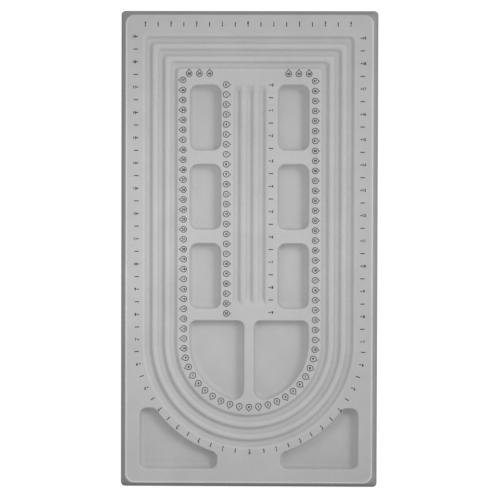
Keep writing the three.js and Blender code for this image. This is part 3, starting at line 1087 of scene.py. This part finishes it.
# %% [markdown]
# ## Floor, light and camera
# The board lies on a white sheet. A floor that is lit to pure white would throw too much light
# back at the skirt, so it looks white to the camera and stays duller for the light that it returns.
# A lamp at the upper right draws the grooves, and a small one close above brightens the middle of
# the field. The world fills the rest: it looks white to the camera too, and lights evenly.

# %% The white floor
FLOOR_REACH = 6.0
FLOOR_RETURN = 0.03
FLOOR_SHADE = 0.25
FLOOR_GLOW = 0.86


def seen_ray(tree):
    ray = tree.nodes.new("ShaderNodeLightPath")
    seen = maths(tree, "MAXIMUM", ray.outputs["Is Camera Ray"], ray.outputs["Is Glossy Ray"])
    return maths(tree, "MAXIMUM", seen, ray.outputs["Is Transmission Ray"])


def white_floor():
    material = bpy.data.materials.new("white_floor")
    material.use_nodes = True
    tree = material.node_tree
    tree.nodes.remove(tree.nodes["Principled BSDF"])
    seen = seen_ray(tree)
    dull = tree.nodes.new("ShaderNodeBsdfDiffuse")
    dull.inputs["Color"].default_value = grey(FLOOR_RETURN)
    bright = tree.nodes.new("ShaderNodeBsdfDiffuse")
    bright.inputs["Color"].default_value = grey(FLOOR_SHADE)
    glow = tree.nodes.new("ShaderNodeEmission")
    glow.inputs["Strength"].default_value = FLOOR_GLOW
    lit = tree.nodes.new("ShaderNodeAddShader")
    choose = tree.nodes.new("ShaderNodeMixShader")
    tree.links.new(bright.outputs[0], lit.inputs[0])
    tree.links.new(glow.outputs[0], lit.inputs[1])
    tree.links.new(seen, choose.inputs["Fac"])
    tree.links.new(dull.outputs[0], choose.inputs[1])
    tree.links.new(lit.outputs[0], choose.inputs[2])
    tree.links.new(choose.outputs[0], tree.nodes["Material Output"].inputs["Surface"])
    return material


floor_mesh = bpy.data.meshes.new("floor")
square = [(-1, -1), (1, -1), (1, 1), (-1, 1)]
corners = [(x * FLOOR_REACH, y * FLOOR_REACH, 0) for x, y in square]
floor_mesh.from_pydata(corners, [], [(0, 1, 2, 3)])
floor_mesh.materials.append(white_floor())
floor = bpy.data.objects.new("floor", floor_mesh)
bpy.context.scene.collection.objects.link(floor)
print("floor:", 2 * FLOOR_REACH, "m across")

# %% Two soft lamps and the world
SKY = 0.589


def hang_lamp(name, kind, tilt, turn, distance, aim, power):
    data = bpy.data.lights.new(name, kind)
    data.energy = power
    lamp = bpy.data.objects.new(name, data)
    lean, way = math.radians(tilt), math.radians(turn)
    across = math.sin(lean)
    towards = Vector((across * math.cos(way), across * math.sin(way), math.cos(lean)))
    lamp.location = Vector(aim) + towards * distance
    lamp.rotation_euler = towards.to_track_quat("Z", "Y").to_euler()
    lamp.visible_camera = False
    bpy.context.scene.collection.objects.link(lamp)
    print(name, "at", [round(value, 2) for value in lamp.location])
    return data


side_lamp = hang_lamp(
    "side_lamp", "SPOT", tilt=45, turn=30, distance=1.5, aim=(-0.03, 0, 0), power=43.3
)
side_lamp.shadow_soft_size = 0.35
side_lamp.spot_size = math.radians(34)
side_lamp.spot_blend = 1.0
overhead_lamp = hang_lamp(
    "overhead_lamp", "AREA", tilt=18, turn=170, distance=0.3, aim=(0, 0, 0), power=0.19
)
overhead_lamp.shape = "DISK"
overhead_lamp.size = 0.2

world = bpy.data.worlds.new("studio")
world.use_nodes = True
background = world.node_tree.nodes["Background"]
background.inputs["Color"].default_value = grey(1)
seen_sky = maths(world.node_tree, "MULTIPLY_ADD", seen_ray(world.node_tree), 1 - SKY, SKY)
world.node_tree.links.new(seen_sky, background.inputs["Strength"])
bpy.context.scene.world = world
bpy.context.scene.view_settings.view_transform = "Standard"
print("sky:", SKY)

# %% The camera, almost straight above
CAMERA_DISTANCE = 1.43
SENSOR = 36.0
PICTURE_PIXELS = 500
METRES_PER_PIXEL = 0.0010055
PICTURE_CENTRE = (0.00085, -0.0005)
CAMERA_ASIDE = (0.0157, 0.022)
CAMERA_ROLL = math.radians(0.16)

camera_data = bpy.data.cameras.new("camera")
camera_data.sensor_width = SENSOR
camera_data.lens = SENSOR * CAMERA_DISTANCE / (PICTURE_PIXELS * METRES_PER_PIXEL)
camera = bpy.data.objects.new("camera", camera_data)
aside_x, aside_y = CAMERA_ASIDE
centre_x, centre_y = PICTURE_CENTRE
camera.location = (centre_x + aside_x, centre_y + aside_y, BOARD_HEIGHT * MM + CAMERA_DISTANCE)
camera.rotation_euler = (
    -math.atan(aside_y / CAMERA_DISTANCE),
    math.atan(aside_x / CAMERA_DISTANCE),
    CAMERA_ROLL,
)
bpy.context.scene.collection.objects.link(camera)
bpy.context.scene.camera = camera
print(f"lens {camera_data.lens:.1f} mm")
